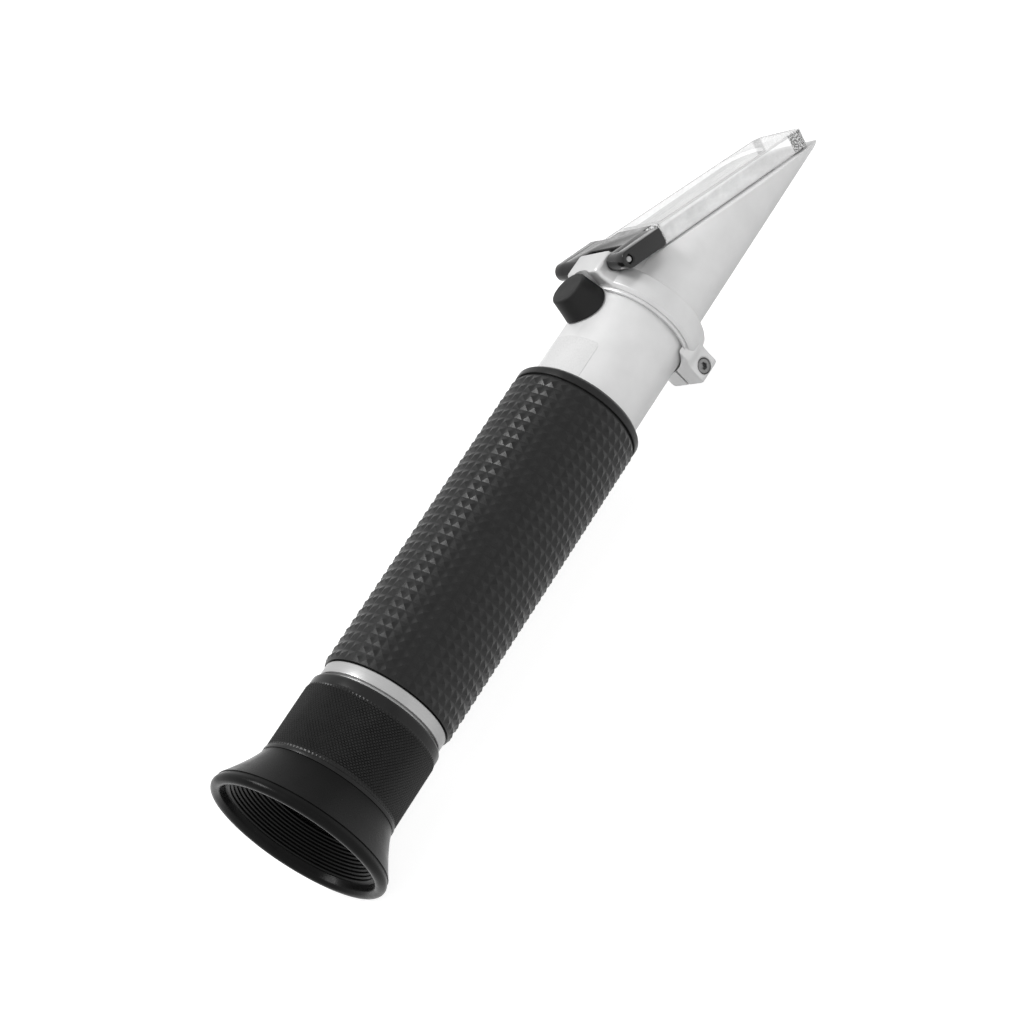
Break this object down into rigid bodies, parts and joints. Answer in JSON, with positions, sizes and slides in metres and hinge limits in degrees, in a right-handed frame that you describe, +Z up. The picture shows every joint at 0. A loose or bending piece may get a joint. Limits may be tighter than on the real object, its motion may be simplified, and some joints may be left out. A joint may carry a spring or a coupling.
{
  "type": "clinical refractometer",
  "caption": "Handheld refractometer: slanted prism head with hinged clear cover, clamp ring, capped calibration screw, studded grip and focusing eyepiece with flared eyecup.",
  "frame": {"origin": "middle of the underside of the box around the whole instrument, below the tube axis", "axes": "+X along the tube from the eyecup to the prism tip, +Z up through the hinged cover, +Y across"},
  "size_m": [0.185, 0.038, 0.038],
  "materials": {
    "tube_metal": "satin silver anodised",
    "ring_metal": "satin, bead blasted",
    "band_metal": "brushed, turned",
    "grip_rubber": "satin black with pointed studs",
    "barrel_plastic": "fine knurl",
    "eyecup_rubber": "semi-gloss black",
    "seal_rubber": "matte black",
    "cap_rubber": "matte black",
    "yoke_plastic": "satin black, faintly brushed",
    "steel": "bright",
    "brass": "turned",
    "bimetal": "rolled strip",
    "black_metal": "black anodised",
    "optical_glass": "polished",
    "clear_plastic": "clear moulded acrylic"
  },
  "bodies": {
    "housing": {"main_tube": "tube_metal", "grip_sleeve": "grip_rubber", "eyepiece_mount": "band_metal", "guide_pin": "steel", "focus_seal": "seal_rubber", "reticle_holder": "black_metal", "reticle": "optical_glass", "reticle_lock_ring": "black_metal", "light_baffle": "black_metal", "objective_cell": "black_metal", "objective_lens": "optical_glass", "objective_lock_ring": "black_metal", "compensator_cell": "black_metal", "pivot_pin_near": "steel", "pivot_pin_far": "steel", "bimetal_strip": "bimetal", "strip_screw": "steel", "calibration_bush": "brass", "prism_body": "tube_metal", "main_prism": "optical_glass", "clamp_ring": "ring_metal", "clamp_screw": "steel", "clamp_nut": "steel", "hinge_pin": "steel"},
    "lens_slide": {"eyepiece_tube": "black_metal", "eye_lens": "optical_glass", "lens_spacer": "black_metal", "field_lens": "optical_glass", "lens_lock_ring": "black_metal"},
    "eyepiece": {"focus_ring": "barrel_plastic", "focus_retainer": "black_metal", "eyecup": "eyecup_rubber"},
    "cover": {"hinge_yoke": "yoke_plastic", "cover_plate": "clear_plastic"},
    "cap": {"calibration_cap": "cap_rubber"},
    "adjuster": {"calibration_screw": "brass"},
    "wedge": {"wedge_carrier": "black_metal", "wedge_prism": "optical_glass"}
  },
  "joints": [
    {"name": "focus_slide", "type": "slide", "parent": "housing", "child": "lens_slide", "axis": [1, 0, 0], "range_m": [-0.003, 0.002]},
    {"name": "focus_turn", "type": "hinge", "parent": "lens_slide", "child": "eyepiece", "pos_m": [-0.0813, 0, 0.019], "axis": [1, 0, 0], "range_deg": [-181, 121]},
    {"name": "cover_hinge", "type": "hinge", "parent": "housing", "child": "cover", "pos_m": [0.03816, 0, 0.0332], "axis": [0, -1, 0], "range_deg": [0, 105]},
    {"name": "cap_pull", "type": "slide", "parent": "housing", "child": "cap", "axis": [0, 0, 1], "range_m": [0, 0.015]},
    {"name": "calibration_turn", "type": "hinge", "parent": "housing", "child": "adjuster", "pos_m": [0.0296, 0, 0.03], "axis": [0, 0, 1], "range_deg": [-180, 180]},
    {"name": "wedge_tilt", "type": "hinge", "parent": "housing", "child": "wedge", "pos_m": [0.02021, 0, 0.019], "axis": [0, 1, 0], "range_deg": [-0.76, 0.76]}
  ],
  "couplings": [
    {"joint": "focus_turn", "follows": "focus_slide", "rad_per_m": 1047.2},
    {"joint": "wedge_tilt", "follows": "calibration_turn", "ratio": 0.0041667}
  ]
}
